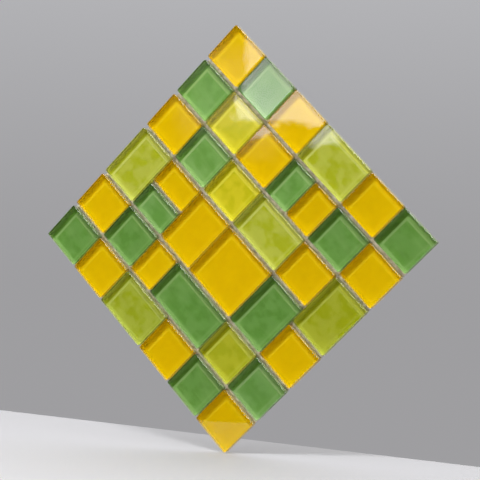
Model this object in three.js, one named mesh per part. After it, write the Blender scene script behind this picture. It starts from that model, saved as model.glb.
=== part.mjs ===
// A square sheet of glass mosaic standing on one corner: 38 thick clear glass tiles, coloured on the
// back, glued in a fixed pattern of four sizes on a glass-fibre mesh.
// Millimetres, +Z up. The tiles face -Y and the mesh lies against the wall, which is the plane y = 0.
// The origin is the middle of the sheet's back.
import * as THREE from 'three';

// Driving dimensions of the sheet. It lies in strips: a width runs along a strip, a height across it.
const STRIP_JOINT = 4;      // open joint between two strips, and between two tiles of one column
const SIDE_JOINT = 1.5;     // open joint between two neighbours in a strip
const GLASS = 8;            // thickness of a tile
const ARRIS = 0.8;          // size of the rounded edge of a tile, front and back
const CORNER = 1.5;         // radius of a tile's corner, seen from the front
const MESH = 0.7;           // thickness of the mesh with its glue
const MESH_INSET = 1;       // the mesh stops this far inside the tiles' outer edges
const GLUE_GAP = 0.3;       // clearance between the mesh and the back of a tile

// The sizes of the tiles. Two small ones with their joint are as large as a big one, and a long one
// as wide as a unit one and a small one with theirs.
const WIDTHS = { unit: 46, big: 65 };
WIDTHS.small = (WIDTHS.big - SIDE_JOINT) / 2;
WIDTHS.long = WIDTHS.unit + SIDE_JOINT + WIDTHS.small;
const HEIGHTS = { unit: 43.5, big: 62.5 };
HEIGHTS.small = (HEIGHTS.big - STRIP_JOINT) / 2;

// Five unit tiles and one big one fill the sheet, both along a strip and across the strips.
const SHEET_WIDTH = 5 * (WIDTHS.unit + SIDE_JOINT) + WIDTHS.big;
const SHEET_HEIGHT = 5 * (HEIGHTS.unit + STRIP_JOINT) + HEIGHTS.big;

// Facets: an arc of a Shape gets two facets for each step, an arris one.
const CORNER_STEPS = 1;
const ARRIS_STEPS = 2;

// Clear glass over a coloured back, so each finish is glossy and carries the colour of its paint.
const FINISHES = {
  yellow: { color: 0xd6b000, roughness: 0.06 },
  green: { color: 0x5f9244, roughness: 0.06 },
  lime: { color: 0xa5b237, roughness: 0.08 },
  yellow_lime: { color: 0xc8c323, roughness: 0.08 },
};
const MESH_FINISH = { color: 0xd8d2c0, roughness: 0.8 };

// The strips follow each other from the upper right edge to the lower left one, and a strip runs down
// to the right. A strip lists its columns. A column has its width, then the tiles laid in it one
// below the other, each with its colour and its height.
const STRIPS = [
  { height: 'unit', columns: [
    ['unit', ['yellow', 'unit']],
    ['unit', ['green', 'unit']],
    ['unit', ['yellow', 'unit']],
    ['big', ['lime', 'unit']],
    ['unit', ['yellow', 'unit']],
    ['unit', ['green', 'unit']],
  ] },
  { height: 'unit', columns: [
    ['unit', ['green', 'unit']],
    ['unit', ['yellow_lime', 'unit']],
    ['unit', ['yellow', 'unit']],
    ['small', ['green', 'unit']],
    ['small', ['yellow', 'unit']],
    ['unit', ['green', 'unit']],
    ['unit', ['yellow', 'unit']],
  ] },
  { height: 'unit', columns: [
    ['unit', ['yellow', 'unit']],
    ['unit', ['green', 'unit']],
    ['unit', ['yellow_lime', 'unit']],
    ['big', ['lime', 'unit']],
    ['unit', ['yellow', 'unit']],
    ['unit', ['lime', 'big'], ['yellow', 'unit']],   // this column fills the next strip as well
  ] },
  { height: 'big', columns: [
    ['unit', ['lime', 'big']],
    ['unit', ['yellow', 'small'], ['green', 'small']],
    ['unit', ['yellow', 'big']],
    ['big', ['yellow', 'big']],
    ['unit', ['green', 'big']],
  ] },
  { height: 'unit', columns: [
    ['unit', ['yellow', 'unit']],
    ['unit', ['green', 'unit']],
    ['small', ['yellow', 'unit']],
    ['long', ['green', 'unit']],
    ['unit', ['yellow_lime', 'unit']],
    ['unit', ['green', 'unit']],
  ] },
  { height: 'unit', columns: [
    ['unit', ['green', 'unit']],
    ['unit', ['yellow', 'unit']],
    ['big', ['lime', 'unit']],
    ['unit', ['yellow', 'unit']],
    ['unit', ['green', 'unit']],
    ['unit', ['yellow', 'unit']],
  ] },
];

// A rectangle with round corners, centred on its origin.
function roundedRectangle(width, height, radius) {
  const right = width / 2;
  const top = height / 2;
  const shape = new THREE.Shape();
  shape.absarc(right - radius, top - radius, radius, 0, Math.PI / 2);
  shape.absarc(-right + radius, top - radius, radius, Math.PI / 2, Math.PI);
  shape.absarc(-right + radius, -top + radius, radius, Math.PI, 1.5 * Math.PI);
  shape.absarc(right - radius, -top + radius, radius, 1.5 * Math.PI, 2 * Math.PI);
  return shape;
}

// One block of glass with rounded arrises. Its back lies at z = 0 and its front at z = GLASS.
function glassBlock(width, height) {
  const outline = roundedRectangle(width - 2 * ARRIS, height - 2 * ARRIS, CORNER - ARRIS);
  const block = new THREE.ExtrudeGeometry(outline, {
    depth: GLASS - 2 * ARRIS,
    curveSegments: CORNER_STEPS,
    bevelThickness: ARRIS,
    bevelSize: ARRIS,
    bevelSegments: ARRIS_STEPS,
  });
  return block.translate(0, 0, ARRIS);
}

function finish({ color, roughness }) {
  return new THREE.MeshStandardMaterial({ color, roughness, metalness: 0 });
}

// The sheet is built flat, with x along a strip and y up towards the first strip, and +z to the
// front. It is then stood up to face -Y and turned by an eighth of a turn onto its corner.
const sheet = new THREE.Group();
sheet.rotation.set(Math.PI / 2, Math.PI / 4, 0, 'YXZ');

const backing = new THREE.Mesh(
  new THREE.BoxGeometry(SHEET_WIDTH - 2 * MESH_INSET, SHEET_HEIGHT - 2 * MESH_INSET, MESH),
  finish(MESH_FINISH),
);
backing.name = 'mesh_backing';
backing.position.z = MESH / 2;
sheet.add(backing);

// Lay the tiles, and number each colour in the order of laying.
const laid = { yellow: 0, green: 0, lime: 0, yellow_lime: 0 };
let stripTop = SHEET_HEIGHT / 2;
for (const strip of STRIPS) {
  let left = -SHEET_WIDTH / 2;
  for (const [wide, ...tiles] of strip.columns) {
    const width = WIDTHS[wide];
    let top = stripTop;
    for (const [colour, high] of tiles) {
      const height = HEIGHTS[high];
      laid[colour] += 1;
      const tile = new THREE.Mesh(glassBlock(width, height), finish(FINISHES[colour]));
      tile.name = `${colour}_tile_${String(laid[colour]).padStart(2, '0')}`;
      tile.position.set(left + width / 2, top - height / 2, MESH + GLUE_GAP);
      sheet.add(tile);
      top -= height + STRIP_JOINT;
    }
    left += width + SIDE_JOINT;
  }
  stripTop -= HEIGHTS[strip.height] + STRIP_JOINT;
}

const panel = new THREE.Group();
panel.add(sheet);

export default panel;
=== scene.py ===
"""A square sheet of glass mosaic standing on one corner: 38 thick clear tiles, coloured on the back and
glued on a net.

Metres, +Z up. The tiles face -Y, and the panel is fixed by its back, on the plane y = 0.
"""
import math
import random

import bpy
from mathutils import Matrix, Vector, noise


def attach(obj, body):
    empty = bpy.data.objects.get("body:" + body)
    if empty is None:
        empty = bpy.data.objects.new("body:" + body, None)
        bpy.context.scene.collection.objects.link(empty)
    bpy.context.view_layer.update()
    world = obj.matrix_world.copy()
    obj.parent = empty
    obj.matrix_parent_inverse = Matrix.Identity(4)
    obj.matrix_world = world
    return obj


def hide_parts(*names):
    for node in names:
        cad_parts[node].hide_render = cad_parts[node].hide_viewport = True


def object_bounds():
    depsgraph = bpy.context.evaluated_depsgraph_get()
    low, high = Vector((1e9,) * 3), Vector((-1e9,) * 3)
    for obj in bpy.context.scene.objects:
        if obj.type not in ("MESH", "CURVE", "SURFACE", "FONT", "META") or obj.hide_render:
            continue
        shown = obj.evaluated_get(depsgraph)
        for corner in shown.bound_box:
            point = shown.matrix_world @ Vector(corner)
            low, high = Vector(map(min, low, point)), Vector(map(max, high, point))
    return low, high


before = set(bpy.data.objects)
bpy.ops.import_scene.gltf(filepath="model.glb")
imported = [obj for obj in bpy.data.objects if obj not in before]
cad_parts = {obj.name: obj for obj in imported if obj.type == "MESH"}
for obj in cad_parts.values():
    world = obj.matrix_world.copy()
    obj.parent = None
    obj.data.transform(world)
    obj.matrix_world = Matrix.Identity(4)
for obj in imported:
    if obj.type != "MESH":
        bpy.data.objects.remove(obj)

cad_box = [list(corner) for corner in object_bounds()]
MM = 0.001

# The view. The camera stands to the right of the panel and a little below its middle, and leans by
# a degree or two, as in the photograph.
view_aim = Vector((11.48, -9.0, -2.18)) * MM
view_distance = 1384.2 * MM
view_azimuth = math.radians(25.01)
view_rise = math.radians(1.69)
view_lean = math.radians(1.84)
view_lens = 105.09

looking = Vector((
    -math.sin(view_azimuth) * math.cos(view_rise),
    math.cos(view_azimuth) * math.cos(view_rise),
    math.sin(view_rise),
))
camera = bpy.data.objects.new("view", bpy.data.cameras.new("view"))
camera.data.lens = view_lens
camera.matrix_world = (
    Matrix.Translation(view_aim - looking * view_distance)
    @ looking.to_track_quat("-Z", "Y").to_matrix().to_4x4()
    @ Matrix.Rotation(view_lean, 4, "Z")
)
bpy.context.scene.collection.objects.link(camera)
bpy.context.scene.camera = camera
bpy.context.scene.view_settings.view_transform = "Standard"
# Glass throws back a part of the samples, which makes the normals grainy as a guide to the denoiser.
bpy.context.scene.cycles.denoising_input_passes = "RGB_ALBEDO"

# The studio: a pale table top whose far edge lies just behind the panel, a lamp overhead and one to
# the side, a soft box that shows in the arrises alone, a window far off to the left that glares in the
# top tiles, and a dim room, grey behind the panel.


class Socket:
    """An output of a node. It can stand in a sum, which adds its Math nodes."""

    def __init__(self, nodes, output):
        self.nodes, self.output = nodes, output

    def math(self, operation, first, second):
        return self.nodes.add("ShaderNodeMath", {"operation": operation}, {0: first, 1: second})["Value"]

    def __add__(self, other):
        return self.math("ADD", self, other)

    def __radd__(self, other):
        return self.math("ADD", other, self)

    def __sub__(self, other):
        return self.math("SUBTRACT", self, other)

    def __rsub__(self, other):
        return self.math("SUBTRACT", other, self)

    def __mul__(self, other):
        return self.math("MULTIPLY", self, other)

    def __rmul__(self, other):
        return self.math("MULTIPLY", other, self)

    def __truediv__(self, other):
        return self.math("DIVIDE", self, other)

    def __rtruediv__(self, other):
        return self.math("DIVIDE", other, self)


class Nodes:
    """A tree of nodes, as they are put together."""

    def __init__(self, tree):
        self.tree = tree
        self.tree.nodes.clear()

    @staticmethod
    def by_name(sockets):
        """The sockets by name, which finds the first of that name, and by identifier."""
        named = {socket.name: socket for socket in reversed(sockets)}
        named.update({socket.identifier: socket for socket in sockets})
        return named

    def add(self, kind, settings, inputs):
        """Add a node with its settings, then the values or links of its sockets. A list of links goes to
        a socket that takes several. Returns the node's outputs."""
        made = self.tree.nodes.new(kind)
        for name, value in settings.items():
            setattr(made, name, value)
        named = self.by_name(made.inputs)
        for name, value in inputs.items():
            socket = made.inputs[name] if isinstance(name, int) else named[name]
            for part in value if isinstance(value, list) else [value]:
                if isinstance(part, Socket):
                    self.tree.links.new(part.output, socket)
                else:
                    socket.default_value = part
        return {name: Socket(self, output) for name, output in self.by_name(made.outputs).items()}


class Finish(Nodes):
    """The nodes of a material, a lamp or the room."""

    def __init__(self, owner):
        owner.use_nodes = True
        super().__init__(owner.node_tree)
        self.owner = owner

    def ramp(self, value, low, high, at_low=0.0, at_high=1.0):
        """A smooth step of value from at_low to at_high."""
        return self.add("ShaderNodeMapRange", {"interpolation_type": "SMOOTHSTEP"}, {
            "Value": value, "From Min": low, "From Max": high, "To Min": at_low, "To Max": at_high,
        })["Result"]

    def mixed(self, factor, first, second):
        """A colour between the first and the second."""
        return self.add("ShaderNodeMix", {"data_type": "RGBA"}, {
            "Factor_Float": factor, "A_Color": first, "B_Color": second,
        })["Result_Color"]

    def matt(self, colour, roughness):
        """A plain surface."""
        return self.surface(self.add(
            "ShaderNodeBsdfPrincipled", {}, {"Base Color": colour, "Roughness": roughness}
        )["BSDF"])

    def surface(self, shader, kind="ShaderNodeOutputMaterial"):
        """End the tree in a shader."""
        self.add(kind, {}, {"Surface": shader})
        return self.owner


def mesh_object(name, vertices, faces, materials, slots, smooth=True):
    """A piece of the scene from the corners of its faces and the material slot of each."""
    mesh = bpy.data.meshes.new(name)
    mesh.from_pydata(vertices, [], faces)
    for material in materials:
        mesh.materials.append(material)
    mesh.polygons.foreach_set("material_index", slots)
    mesh.polygons.foreach_set("use_smooth", [smooth] * len(faces))
    made = bpy.data.objects.new(name, mesh)
    bpy.context.scene.collection.objects.link(made)
    return made


# The table top's edges run askew: floor_turn is how far they recede for each metre to the right.
floor_top = cad_box[0][2] - 0.5 * MM
floor_front, floor_back, floor_side, floor_depth = -0.31, 0.11, 2.5, 0.03
floor_turn = -0.225
floor_corners = [
    (x, y + floor_turn * x, z)
    for z in (floor_top - floor_depth, floor_top)
    for x, y in (
        (-floor_side, floor_front),
        (floor_side, floor_front),
        (floor_side, floor_back),
        (-floor_side, floor_back),
    )
]
floor_faces = [(0, 3, 2, 1), (4, 5, 6, 7), (0, 1, 5, 4), (1, 2, 6, 5), (2, 3, 7, 6), (3, 0, 4, 7)]
floor_material = Finish(bpy.data.materials.new("floor_paint")).matt((0.465, 0.462, 0.474, 1), 0.7)
floor = mesh_object(
    "floor", floor_corners, floor_faces, [floor_material], [0] * len(floor_faces), smooth=False
)


def lamp(name, place, size, power):
    """A square lamp that shines on the middle of the panel and isn't seen through the glass."""
    light = bpy.data.lights.new(name, "AREA")
    light.shape, light.size, light.energy = "SQUARE", size, power
    made = bpy.data.objects.new(name, light)
    bpy.context.scene.collection.objects.link(made)
    made.matrix_world = Matrix.Translation(place) @ (-place).to_track_quat("-Z", "Y").to_matrix().to_4x4()
    made.visible_transmission = False
    return made


def from_panel(sideways, up, distance):
    """A place as seen from the panel: degrees to the right of straight ahead, degrees up, metres."""
    right, rise = math.radians(sideways), math.radians(up)
    return distance * Vector((
        math.sin(right) * math.cos(rise), -math.cos(right) * math.cos(rise), math.sin(rise)
    ))


overhead = lamp("overhead_lamp", from_panel(-9.0, 51.0, 1.8), size=0.28, power=19.2)
overhead.visible_glossy = False
side_fill = lamp("side_fill", from_panel(-30.0, 22.0, 0.9), size=0.35, power=1.45)
side_fill.visible_glossy = False
soft_box = lamp("soft_box", from_panel(32.0, 52.0, 2.0), size=2.0, power=92)
soft_box.visible_diffuse = False

# The window fades over a narrow border, and the wall that it lights beside it over a wide one. Across
# a pane, from 0 to 1, both get dimmer towards the top.
dimming_from, dimming_to, dim = 0.15, 0.65, 0.70
for name, place, size, power, border in (
    ("window", from_panel(-22.2, 10.65, 4.0), 0.42, 3.5, 0.07),
    ("window_wall", from_panel(-25.5, 9.6, 4.0), 0.50, 0.80, 0.35),
):
    pane_lamp = lamp(name, place, size, power)
    pane_lamp.visible_diffuse = False
    pane = Finish(pane_lamp.data)
    spot = pane.add("ShaderNodeNewGeometry", {}, {})["Parametric"]
    across = pane.add("ShaderNodeSeparateXYZ", {}, {"Vector": spot})
    glow = pane.ramp(across["Y"], dimming_from, dimming_to, 1.0, dim)
    for side in ("X", "Y"):
        glow = pane.ramp(across[side], 0.0, border) * pane.ramp(across[side], 1.0, 1.0 - border) * glow
    shining = pane.add("ShaderNodeEmission", {}, {"Strength": glow})["Emission"]
    pane.surface(shining, "ShaderNodeOutputLight")

# Grey behind the panel and paler upwards, nearly black in front of it, and bright overhead. The camera
# sees the grey alone. Each change takes place between two heights, or depths, of a direction of length 1.
grey_low, grey_high = (0.343, 0.341, 0.352, 1), (0.525, 0.530, 0.550, 1)
dark_front = (0.012, 0.012, 0.012, 1)
overhead_light = 1.5
paler_from, paler_to = -0.02, 0.38
behind_from, behind_to = -0.15, 0.45
above_from, above_to = 0.30, 1.0
room = bpy.data.worlds.new("room")
bpy.context.scene.world = room
room_light = Finish(room)
direction = room_light.add("ShaderNodeTexCoord", {}, {})["Generated"]
direction = room_light.add("ShaderNodeSeparateXYZ", {}, {"Vector": direction})
grey = room_light.mixed(room_light.ramp(direction["Z"], paler_from, paler_to), grey_low, grey_high)
behind = room_light.mixed(room_light.ramp(direction["Y"], behind_from, behind_to), dark_front, grey)
above = room_light.ramp(direction["Z"], above_from, above_to, 0.0, overhead_light)
everywhere = room_light.add("ShaderNodeVectorMath", {"operation": "ADD"}, {0: behind, 1: above})["Vector"]
seen = room_light.add("ShaderNodeLightPath", {}, {})["Is Camera Ray"]
everywhere = room_light.mixed(seen, everywhere, grey)
room_light.surface(
    room_light.add("ShaderNodeBackground", {}, {"Color": everywhere})["Background"],
    "ShaderNodeOutputWorld",
)
# The room's light is even, so it isn't aimed at as a lamp is.
room.cycles.sampling_method = "NONE"

# The tiles: blocks of clear glass, pressed smooth in front with a fire-rounded arris, with two sides
# pressed and two sawn and a little rough, and painted on the back. Each was glued down by hand.
# A width runs along a strip and a height across it. The joints between strips are the wide ones.
strip_joint, side_joint = 4 * MM, 1.5 * MM
widths = {"unit": 46 * MM, "big": 65 * MM}
widths["small"] = (widths["big"] - side_joint) / 2
widths["long"] = widths["unit"] + side_joint + widths["small"]
heights = {"unit": 43.5 * MM, "big": 62.5 * MM}
heights["small"] = (heights["big"] - strip_joint) / 2
sheet_width = 5 * (widths["unit"] + side_joint) + widths["big"]
sheet_height = 5 * (heights["unit"] + strip_joint) + heights["big"]
tile_back, tile_front = 1.0 * MM, 8.7 * MM      # in front of the panel's back
trim = 0.2 * MM                                 # a tile is this much smaller than its place
arris, arris_steps = 0.9 * MM, 6
sharpest_corner, roundest_corner, corner_steps = 1.3 * MM, 2.0 * MM, 4
corner_at_front = 0.08 * MM                     # the least that is left of a corner's radius
back_chamfer = 0.25 * MM
support = 0.15 * MM                             # a narrow ring of faces that keeps a flat face flat

# The strips, from the upper right edge to the lower left one, each with its height and its columns. A
# column has its width, then the tiles laid in it one below the other, each with its colour and height.
strips = [
    ("unit", [
        ("unit", [("yellow", "unit")]), ("unit", [("green", "unit")]), ("unit", [("yellow", "unit")]),
        ("big", [("lime", "unit")]), ("unit", [("yellow", "unit")]), ("unit", [("green", "unit")]),
    ]),
    ("unit", [
        ("unit", [("green", "unit")]), ("unit", [("yellow_lime", "unit")]), ("unit", [("yellow", "unit")]),
        ("small", [("green", "unit")]), ("small", [("yellow", "unit")]), ("unit", [("green", "unit")]),
        ("unit", [("yellow", "unit")]),
    ]),
    ("unit", [
        ("unit", [("yellow", "unit")]), ("unit", [("green", "unit")]), ("unit", [("yellow_lime", "unit")]),
        ("big", [("lime", "unit")]), ("unit", [("yellow", "unit")]),
        ("unit", [("lime", "big"), ("yellow", "unit")]),
    ]),
    ("big", [
        ("unit", [("lime", "big")]), ("unit", [("yellow", "small"), ("green", "small")]),
        ("unit", [("yellow", "big")]), ("big", [("yellow", "big")]), ("unit", [("green", "big")]),
    ]),
    ("unit", [
        ("unit", [("yellow", "unit")]), ("unit", [("green", "unit")]), ("small", [("yellow", "unit")]),
        ("long", [("green", "unit")]), ("unit", [("yellow_lime", "unit")]), ("unit", [("green", "unit")]),
    ]),
    ("unit", [
        ("unit", [("green", "unit")]), ("unit", [("yellow", "unit")]), ("big", [("lime", "unit")]),
        ("unit", [("yellow", "unit")]), ("unit", [("green", "unit")]), ("unit", [("yellow", "unit")]),
    ]),
]

# On the sheet, x runs down a strip, y up towards the first strip and z to the front.
sheet_to_panel = Matrix.Rotation(math.pi / 4, 4, "Y") @ Matrix.Rotation(math.pi / 2, 4, "X")


def lay_noise(finish, scale, detail, stretch=(1, 1, 1)):
    """A noise that differs from tile to tile, and is stretched along the tile's sides."""
    place = finish.add("ShaderNodeAttribute", {"attribute_name": "lay"}, {})["Vector"]
    place = finish.add("ShaderNodeVectorMath", {"operation": "MULTIPLY"}, {0: place, 1: stretch})["Vector"]
    return finish.add(
        "ShaderNodeTexNoise", {}, {"Vector": place, "Scale": scale, "Detail": detail, "Roughness": 0.5}
    )["Fac"]


lamps_through_front = (0.93, 0.95, 0.93, 1)


def clear_glass(name, tint, roughness, clearness, wave_height=0.0):
    """Glass for a face. The front is wavy and lets the lamps through to the paint."""
    finish = Finish(bpy.data.materials.new(name))
    inputs = {
        "Base Color": (*tint, 1),
        "Roughness": roughness,
        "IOR": 1.5,
        "Transmission Weight": clearness,
    }
    if wave_height:
        waves = lay_noise(finish, scale=0.05, detail=1.0)
        inputs["Normal"] = finish.add(
            "ShaderNodeBump", {}, {"Strength": 1.0, "Distance": wave_height, "Height": waves}
        )["Normal"]
    glass = finish.add("ShaderNodeBsdfPrincipled", {}, inputs)["BSDF"]
    if wave_height:
        lamp_ray = finish.add("ShaderNodeLightPath", {}, {})["Is Shadow Ray"]
        open_glass = finish.add("ShaderNodeBsdfTransparent", {}, {"Color": lamps_through_front})["BSDF"]
        glass = finish.add("ShaderNodeMixShader", {}, {"Fac": lamp_ray, 1: glass, 2: open_glass})["Shader"]
    return finish.surface(glass)


front_glass = clear_glass(
    "front_glass", tint=(1.0, 1.0, 1.0), roughness=0.0, clearness=1.0, wave_height=0.045 * MM
)
sawn_glass = clear_glass("sawn_glass", tint=(0.62, 0.62, 0.44), roughness=0.25, clearness=0.6)
# The pressed sides are tinted darker than the sawn ones. This is painted shade: it stands for the shade on
# the lower right walls, which face away from the lamps and show in the joints.
pressed_glass = clear_glass("pressed_glass", tint=(0.38, 0.35, 0.19), roughness=0.08, clearness=0.92)

# Painted light and shade on the paint along a tile's walls, in millimetres from the wall: where each starts
# to show, then where it shows in full. They are the painted shade along the upper left wall, the painted
# highlight lines beyond the shade of the upper walls and inside the lower right wall, and painted borders
# along the walls. The lines and borders that meet the left and right ones end there.
left_shade, clear_of_left, clear_of_right = (7.8, 6.6), (6.6, 7.6), (5.6, 6.6)
left_line, right_line = (10.0, 8.9), (8.6, 7.5)
low_line, low_line_inside, low_line_strength = (6.8, 5.7), (3.6, 4.6), 0.3
left_border, right_border, low_border = (5.0, 0.0), (6.4, 5.2), (3.9, 2.4)


def back_paint(name, flat, cloud, rim, edge, low, painted_shade, clouds, streaks):
    """The coat on the back: its colour, with clouds of a second one and paler streaks. Light and shade are
    painted into the colour along a tile's walls: the shadow of the upper left wall, highlight lines, and
    lighter and darker borders where light comes in through and off the walls."""
    finish = Finish(bpy.data.materials.new(name))
    cloudy = finish.ramp(lay_noise(finish, scale=0.07, detail=2.0), 0.42, 0.62, 0.0, clouds)
    colour = finish.mixed(cloudy, (*flat, 1), (*cloud, 1))
    if streaks:
        streak = lay_noise(finish, scale=0.09, detail=3.0, stretch=(0.35, 1.3, 1))
        colour = finish.mixed(finish.ramp(streak, 0.45, 0.75, 0.0, streaks), colour, (*rim, 1))
    walls = finish.add("ShaderNodeAttribute", {"attribute_name": "walls"}, {})
    apart = finish.add("ShaderNodeSeparateColor", {}, {"Color": walls["Color"]})
    upper_left, upper_right, lower_left = apart["Red"], apart["Green"], apart["Blue"]
    lower_right = walls["Alpha"]
    past_left = finish.ramp(upper_left, *clear_of_left)
    past_right = finish.ramp(upper_right, *clear_of_right)
    # Painted shade: the shadow that the upper left wall casts on the paint, drawn in a darker colour.
    colour = finish.mixed(finish.ramp(upper_left, *left_shade), colour, (*painted_shade, 1))
    # Painted highlights: bright lines in the paler colour, the same that draws the streaks. They lie at the
    # edge of the shade of both upper walls, with a fainter one a few millimetres inside the lower right
    # wall.
    inside = finish.ramp(lower_right, *low_line_inside, 0.0, low_line_strength)
    lines = past_left * finish.ramp(upper_left, *left_line) * past_right
    for line in (
        past_right * finish.ramp(upper_right, *right_line) * past_left,
        finish.ramp(lower_right, *low_line) * inside * past_left,
    ):
        lines = lines.math("MAXIMUM", lines, line)
    colour = finish.mixed(lines, colour, (*rim, 1))
    # Painted light: borders of a paler colour near the upper right and upper left walls, and one along the
    # lower left wall, which is paler on the greens and limes and darker on the yellow.
    colour = finish.mixed(finish.ramp(upper_right, *right_border) * past_left, colour, (*edge, 1))
    colour = finish.mixed(finish.ramp(upper_left, *left_border), colour, (*edge, 1))
    colour = finish.mixed(finish.ramp(lower_left, *low_border) * past_left, colour, (*low, 1))
    tone = finish.add("ShaderNodeAttribute", {"attribute_name": "tone"}, {})["Vector"]
    colour = finish.add("ShaderNodeVectorMath", {"operation": "MULTIPLY"}, {0: colour, 1: tone})["Vector"]
    return finish.surface(finish.add(
        "ShaderNodeBsdfPrincipled", {}, {"Base Color": colour, "Roughness": 0.5, "Specular IOR Level": 0.0}
    )["BSDF"])


# Each paint gives its own colours, flat and cloud, and the paler colour of its streaks, which also draws
# the painted highlight lines. The rest are painted light and shade: paler borders along the upper walls, a
# border along the lower left wall, and the darker colour of the painted shade.
paints = {
    "yellow": back_paint(
        "yellow_paint",
        flat=(0.725, 0.484, 0.001), cloud=(0.71, 0.462, 0.001), rim=(0.80, 0.555, 0.008),
        edge=(0.93, 0.60, 0.004), low=(0.64, 0.43, 0.001), painted_shade=(0.81, 0.51, 0.001),
        clouds=0.5, streaks=0.0,
    ),
    "green": back_paint(
        "green_paint",
        flat=(0.152, 0.318, 0.070), cloud=(0.110, 0.268, 0.040), rim=(0.245, 0.395, 0.130),
        edge=(0.22, 0.39, 0.105), low=(0.208, 0.364, 0.106), painted_shade=(0.105, 0.245, 0.032),
        clouds=0.7, streaks=0.25,
    ),
    "lime": back_paint(
        "lime_paint",
        flat=(0.464, 0.492, 0.066), cloud=(0.395, 0.437, 0.013), rim=(0.56, 0.585, 0.14),
        edge=(0.72, 0.74, 0.13), low=(0.512, 0.54, 0.10), painted_shade=(0.43, 0.46, 0.020),
        clouds=0.9, streaks=0.15,
    ),
    "yellow_lime": back_paint(
        "yellow_lime_paint",
        flat=(0.63, 0.56, 0.021), cloud=(0.53, 0.50, 0.010), rim=(0.73, 0.66, 0.06),
        edge=(0.85, 0.76, 0.06), low=(0.67, 0.60, 0.037), painted_shade=(0.54, 0.48, 0.006),
        clouds=0.8, streaks=0.1,
    ),
}
# A few tiles are tinted: how much red, green and blue they throw back, unlike the rest of their colour.
tile_tints = {
    "lime_tile_03": (0.82, 0.84, 0.50),
    "lime_tile_05": (0.82, 0.88, 0.75),
    "yellow_lime_tile_03": (0.70, 0.80, 1.20),
    "green_tile_03": (1.12, 1.11, 1.02),
    "green_tile_04": (1.18, 1.13, 1.22),
    "green_tile_06": (1.32, 1.22, 1.40),
    "green_tile_07": (1.12, 1.09, 1.22),
    "green_tile_11": (1.12, 1.08, 1.25),
}


def outline(width, height, radii, inset):
    """The rounded rectangle, anticlockwise from the lower right, moved inwards by inset."""
    points = []
    for turn, radius in enumerate(radii):
        kept = max(radius - inset, corner_at_front)
        across = (width / 2 - inset - kept) * (1 if turn in (0, 1) else -1)
        up = (height / 2 - inset - kept) * (-1 if turn in (0, 3) else 1)
        for step in range(corner_steps + 1):
            angle = math.pi / 2 * (turn - 1 + step / corner_steps)
            points.append((across + kept * math.cos(angle), up + kept * math.sin(angle)))
    return points


FRONT, SAWN, PAINTED, PRESSED = range(4)     # the slots of a tile's materials


def glass_block(width, height, radii):
    """Vertices, faces and slots of a block, built up from rings: the inset of each, its height and the
    slot of the faces below it."""
    thick = tile_front - tile_back
    rings = [
        (back_chamfer, 0.0, PAINTED),
        (0.0, back_chamfer, PAINTED),
        (0.0, thick - arris - support, SAWN),
        (0.0, thick - arris, SAWN),
    ]
    for step in range(1, arris_steps + 1):
        angle = math.pi / 2 * step / arris_steps
        rings.append((arris * (1 - math.cos(angle)), thick - arris + arris * math.sin(angle), FRONT))
    rings.append((arris + support, thick, FRONT))
    vertices = [(x, y, up) for inset, up, _ in rings for x, y in outline(width, height, radii, inset)]
    corner_points = corner_steps + 1
    around = 4 * corner_points
    faces = [tuple(reversed(range(around)))]
    slots = [PAINTED]
    for ring, (_, _, slot) in enumerate(rings[1:]):
        low, high = ring * around, (ring + 1) * around
        for point in range(around):
            following = (point + 1) % around
            faces.append((low + point, low + following, high + following, high + point))
            pressed = slot == SAWN and point // corner_points in (0, 2)
            slots.append(PRESSED if pressed else slot)
    top = (len(rings) - 1) * around
    faces.append(tuple(range(top, top + around)))
    slots.append(FRONT)
    return vertices, faces, slots


# Laid by hand, a tile tips by up to tip degrees, twists by up to twist degrees and slips by up to slip.
# Five tiles near the top lean more, as the window's glare shows: degrees that lift the glare, and
# degrees that move it to the left.
tip, twist, slip = 0.16, 0.15, 0.1 * MM
leaning = {
    "yellow_tile_01": (0.0, -0.18),
    "yellow_tile_02": (0.10, 0.0),
    "lime_tile_01": (-0.40, 0.0),
    "yellow_lime_tile_01": (0.40, 0.11),
    "yellow_tile_04": (-0.42, 0.0),
}

glass_sheet = 900           # millimetres of patterned glass and paint to cut a tile from, each way
palest, darkest = 1.02, 0.98
crisp_edge = math.radians(30)

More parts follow.
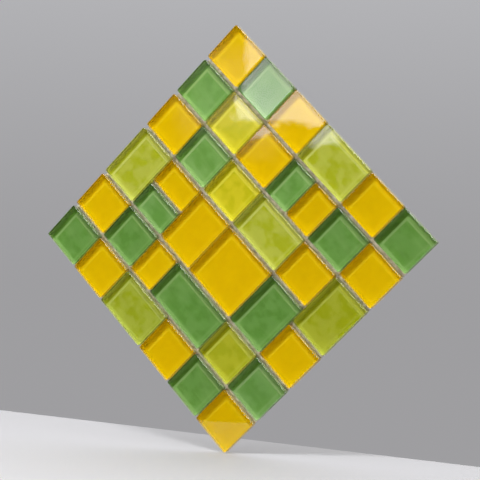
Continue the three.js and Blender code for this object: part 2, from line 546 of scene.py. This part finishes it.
laying = random.Random(11)
laid = dict.fromkeys(paints, 0)
tile_edges = []
strip_top = sheet_height / 2
for strip_height, columns in strips:
    left = -sheet_width / 2
    for wide, tiles in columns:
        width = widths[wide]
        top = strip_top
        for colour, high in tiles:
            height = heights[high]
            laid[colour] += 1
            node = f"{colour}_tile_{laid[colour]:02d}"
            tile_edges.append((left, left + width, top - height, top))
            radii = [laying.uniform(sharpest_corner, roundest_corner) for _ in range(4)]
            vertices, faces, slots = glass_block(width - trim, height - trim, radii)
            crooked = (
                Matrix.Rotation(math.radians(laying.uniform(-tip, tip)), 4, "X")
                @ Matrix.Rotation(math.radians(laying.uniform(-tip, tip)), 4, "Y")
                @ Matrix.Rotation(math.radians(laying.uniform(-twist, twist)), 4, "Z")
            )
            lift, aside = leaning.get(node, (0.0, 0.0))
            place = (
                sheet_to_panel
                @ Matrix.Translation((
                    left + width / 2 + laying.uniform(-slip, slip),
                    top - height / 2 + laying.uniform(-slip, slip),
                    tile_back,
                ))
                @ Matrix.Rotation(math.radians(lift), 4, Vector((1, 1, 0)).normalized())
                @ Matrix.Rotation(math.radians(aside), 4, Vector((-1, 1, 0)).normalized())
                @ crooked
            )
            tile = mesh_object(
                f"{node}_glass",
                [place @ Vector(corner) for corner in vertices],
                faces,
                [front_glass, sawn_glass, paints[colour], pressed_glass],
                slots,
            )
            tile.data.set_sharp_from_angle(angle=crisp_edge)
            # Attributes in millimetres: the place on the glass it was cut from, and how far it is to
            # the upper left, upper right, lower left and lower right walls. The third is its tone.
            cut = Vector([laying.uniform(0, glass_sheet) for _ in range(3)])
            lay, walls = [], []
            for x, y, z in vertices:
                lay.extend(Vector((x, y, z)) / MM + cut)
                to_walls = (width / 2 + x, height / 2 - y, height / 2 + y, width / 2 - x)
                walls += [distance / MM for distance in to_walls]
            tile.data.attributes.new("lay", "FLOAT_VECTOR", "POINT").data.foreach_set("vector", lay)
            tile.data.attributes.new("walls", "FLOAT_COLOR", "POINT").data.foreach_set("color", walls)
            pale = laying.uniform(darkest, palest)
            tone = [pale * part for part in tile_tints.get(node, (1.0, 1.0, 1.0))] * len(vertices)
            tile.data.attributes.new("tone", "FLOAT_VECTOR", "POINT").data.foreach_set("vector", tone)
            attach(tile, "root")
            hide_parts(node)
            top -= height + strip_joint
        left += width + side_joint
    strip_top -= heights[strip_height] + strip_joint

# The glue: a thin coat of white glue on the net, under all tiles. It has risen unevenly in the wide
# joints between them, and hardly at all in the narrow ones.
glue_half_width, glue_half_height = sheet_width / 2 - 1 * MM, sheet_height / 2 - 1 * MM
glue_back, glue_under_tiles = 0.26 * MM, 0.72 * MM
glue_rise, glue_rise_in_strip, glue_lowest = 2.8 * MM, 0.2 * MM, 0.3 * MM
glue_lumps = 0.8 * MM
lump_scale, small_lump_scale = 0.16, 0.45    # for each millimetre
small_lump_share, small_lumps_aside = 0.6, Vector((7, 3, 5))
glue_fall, glue_at_rim = 5 * MM, 0.3         # it falls over this width, to this share at the rim
glue_foot, glue_crest = 0.10 * MM, 0.30 * MM
glue_step = 2.2 * MM
least_gap = 0.01 * MM

glue = Finish(bpy.data.materials.new("glue"))
where = glue.add("ShaderNodeTexCoord", {}, {})["Object"]
dirt = glue.add("ShaderNodeTexNoise", {}, {"Vector": where, "Scale": 260.0, "Detail": 3.0})["Fac"]
glue_colour = glue.mixed(glue.ramp(dirt, 0.35, 0.65), (0.40, 0.35, 0.24, 1), (0.70, 0.64, 0.52, 1))
glue_material = glue.matt(glue_colour, 0.55)


def grid_lines(low_edges, high_edges, half):
    """Lines across the sheet: one at the foot and one at the crest of each glue bead, and between."""
    exact = {-half, half}
    for edges, outwards in ((low_edges, -1), (high_edges, 1)):
        for edge in edges:
            exact |= {edge + outwards * glue_foot, edge + outwards * glue_crest}
    exact = sorted(line for line in exact if abs(line) <= half)
    lines = []
    for low, high in zip(exact, exact[1:]):
        if high - low < least_gap:
            continue
        steps = max(1, round((high - low) / glue_step))
        lines += [low + (high - low) * step / steps for step in range(steps)]
    return lines + [half]


def glue_height(x, y):
    """How far the glue reaches in front of the panel's back: least under the tiles and at the foot of a
    bead."""
    clear = min(
        max(low_x - x, x - high_x, low_y - y, y - high_y) for low_x, high_x, low_y, high_y in tile_edges
    )
    if clear < glue_crest - least_gap:
        return glue_under_tiles
    place = Vector((x, y, 0)) / MM
    lump = noise.noise(place * lump_scale)
    lump += small_lump_share * noise.noise(place * small_lump_scale + small_lumps_aside)
    in_strip = any(
        low_y < y < high_y and max(low_x - x, x - high_x) < side_joint
        for low_x, high_x, low_y, high_y in tile_edges
    )
    rise = (glue_rise_in_strip if in_strip else glue_rise) + glue_lumps * lump
    from_rim = min(glue_half_width - abs(x), glue_half_height - abs(y))
    rise *= glue_at_rim + (1 - glue_at_rim) * min(1.0, from_rim / glue_fall)
    return glue_under_tiles + max(glue_lowest, rise)


lefts, rights, lows, highs = map(set, zip(*tile_edges))
across_lines = grid_lines(lefts, rights, glue_half_width)
up_lines = grid_lines(lows, highs, glue_half_height)
count_x, count_y = len(across_lines), len(up_lines)
vertices = [(x, y, glue_height(x, y)) for y in up_lines for x in across_lines]
vertices += [(x, y, glue_back) for y in up_lines for x in across_lines]
below = count_x * count_y
faces = []
for row in range(count_y - 1):
    for column in range(count_x - 1):
        a = row * count_x + column
        b, c, d = a + 1, a + count_x + 1, a + count_x
        faces.append((a, b, c, d))
        faces.append((below + d, below + c, below + b, below + a))
rim = list(range(count_x))
rim += [row * count_x + count_x - 1 for row in range(1, count_y)]
rim += [(count_y - 1) * count_x + column for column in range(count_x - 2, -1, -1)]
rim += [row * count_x for row in range(count_y - 2, 0, -1)]
for a, b in zip(rim, rim[1:] + rim[:1]):
    faces.append((below + a, below + b, b, a))
glue_piece = mesh_object(
    "glue_coat",
    [sheet_to_panel @ Vector(corner) for corner in vertices],
    faces,
    [glue_material],
    [0] * len(faces),
)
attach(glue_piece, "root")
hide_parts("mesh_backing")

# The net: strands of white glass fibre, five millimetres apart both ways, pressed flat into the back
# of the glue. The strands along the strips lie behind those across them, and all wander a little.
net_sizes = {"Side": 297 * MM, "Pitch": 5 * MM, "Strand": 0.55 * MM, "Drift": 0.35 * MM}
net_levels = (0.20 * MM, 0.32 * MM)
strand_points, strand_sides, strand_flatness = 60, 5, 0.6
drift_scale, drift_seed = 40.0, 3.0
drift_ways = (0.0, 4.0, 0.3)        # along a strand, sideways and up

net_material = Finish(bpy.data.materials.new("glass_fibre")).matt((0.86, 0.85, 0.82, 1), 0.5)

weave = bpy.data.node_groups.new("net_weave", "GeometryNodeTree")
weave.interface.new_socket("Geometry", in_out="OUTPUT", socket_type="NodeSocketGeometry")
for name in net_sizes:
    weave.interface.new_socket(name, in_out="INPUT", socket_type="NodeSocketFloat")
net_nodes = Nodes(weave)
size = net_nodes.add("NodeGroupInput", {}, {})


def net_vector(x, y, z):
    return net_nodes.add("ShaderNodeCombineXYZ", {}, {"X": x, "Y": y, "Z": z})["Vector"]


def net_vector_math(operation, inputs):
    return net_nodes.add("ShaderNodeVectorMath", {"operation": operation}, inputs)["Vector"]


strands = size["Side"] / size["Pitch"]
strands = strands.math("FLOOR", strands, 0.0) + 1.0
first_strand = (strands - 1.0) * (size["Pitch"] * -0.5)
ways = []
for quarter, level in enumerate(net_levels):
    strand = net_nodes.add("GeometryNodeCurvePrimitiveLine", {}, {
        "Start": net_vector(size["Side"] * -0.5, 0.0, 0.0), "End": net_vector(size["Side"] * 0.5, 0.0, 0.0),
    })["Curve"]
    strand = net_nodes.add(
        "GeometryNodeResampleCurve", {}, {"Curve": strand, "Count": strand_points}
    )["Curve"]
    row = net_nodes.add("GeometryNodeMeshLine", {}, {
        "Count": strands,
        "Start Location": net_vector(0.0, first_strand, 0.0),
        "Offset": net_vector(0.0, size["Pitch"], 0.0),
    })["Mesh"]
    way = net_nodes.add("GeometryNodeInstanceOnPoints", {}, {
        "Points": row, "Instance": strand,
    })["Instances"]
    way = net_nodes.add("GeometryNodeRealizeInstances", {}, {"Geometry": way})["Geometry"]
    wander = net_nodes.add("ShaderNodeTexNoise", {"noise_dimensions": "4D"}, {
        "Vector": net_nodes.add("GeometryNodeInputPosition", {}, {})["Position"],
        "W": drift_seed + quarter,
        "Scale": drift_scale,
        "Detail": 1.0,
    })["Color"]
    wander = net_vector_math("SUBTRACT", {0: wander, 1: (0.5, 0.5, 0.5)})
    wander = net_vector_math("MULTIPLY", {0: wander, 1: drift_ways})
    wander = net_vector_math("SCALE", {0: wander, "Scale": size["Drift"]})
    way = net_nodes.add("GeometryNodeSetPosition", {}, {"Geometry": way, "Offset": wander})["Geometry"]
    section = net_nodes.add("GeometryNodeCurvePrimitiveCircle", {}, {
        "Resolution": strand_sides, "Radius": size["Strand"] * 0.5,
    })["Curve"]
    way = net_nodes.add("GeometryNodeCurveToMesh", {}, {
        "Curve": way, "Profile Curve": section, "Fill Caps": True,
    })["Mesh"]
    ways.append(net_nodes.add("GeometryNodeTransform", {}, {
        "Geometry": way,
        "Translation": (0.0, 0.0, level),
        "Rotation": (0.0, 0.0, quarter * math.pi / 2),
        "Scale": (1.0, 1.0, strand_flatness),
    })["Geometry"])
cloth = net_nodes.add("GeometryNodeJoinGeometry", {}, {"Geometry": ways})["Geometry"]
cloth = net_nodes.add("GeometryNodeRealizeInstances", {}, {"Geometry": cloth})["Geometry"]
cloth = net_nodes.add("GeometryNodeSetMaterial", {}, {
    "Geometry": cloth, "Material": net_material,
})["Geometry"]
net_nodes.add("NodeGroupOutput", {}, {"Geometry": cloth})

weaver = mesh_object("weaver", [(0, 0, 0)], [], [net_material], [])
modifier = weaver.modifiers.new("weave", "NODES")
modifier.node_group = weave
for item in weave.interface.items_tree:
    if item.in_out == "INPUT":
        modifier[item.identifier] = net_sizes[item.name]
woven = weaver.evaluated_get(bpy.context.evaluated_depsgraph_get())
net_mesh = bpy.data.meshes.new_from_object(woven)
bpy.data.objects.remove(weaver)
net_mesh.transform(sheet_to_panel)
net = bpy.data.objects.new("glass_fibre_net", net_mesh)
bpy.context.scene.collection.objects.link(net)
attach(net, "root")
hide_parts("mesh_backing")
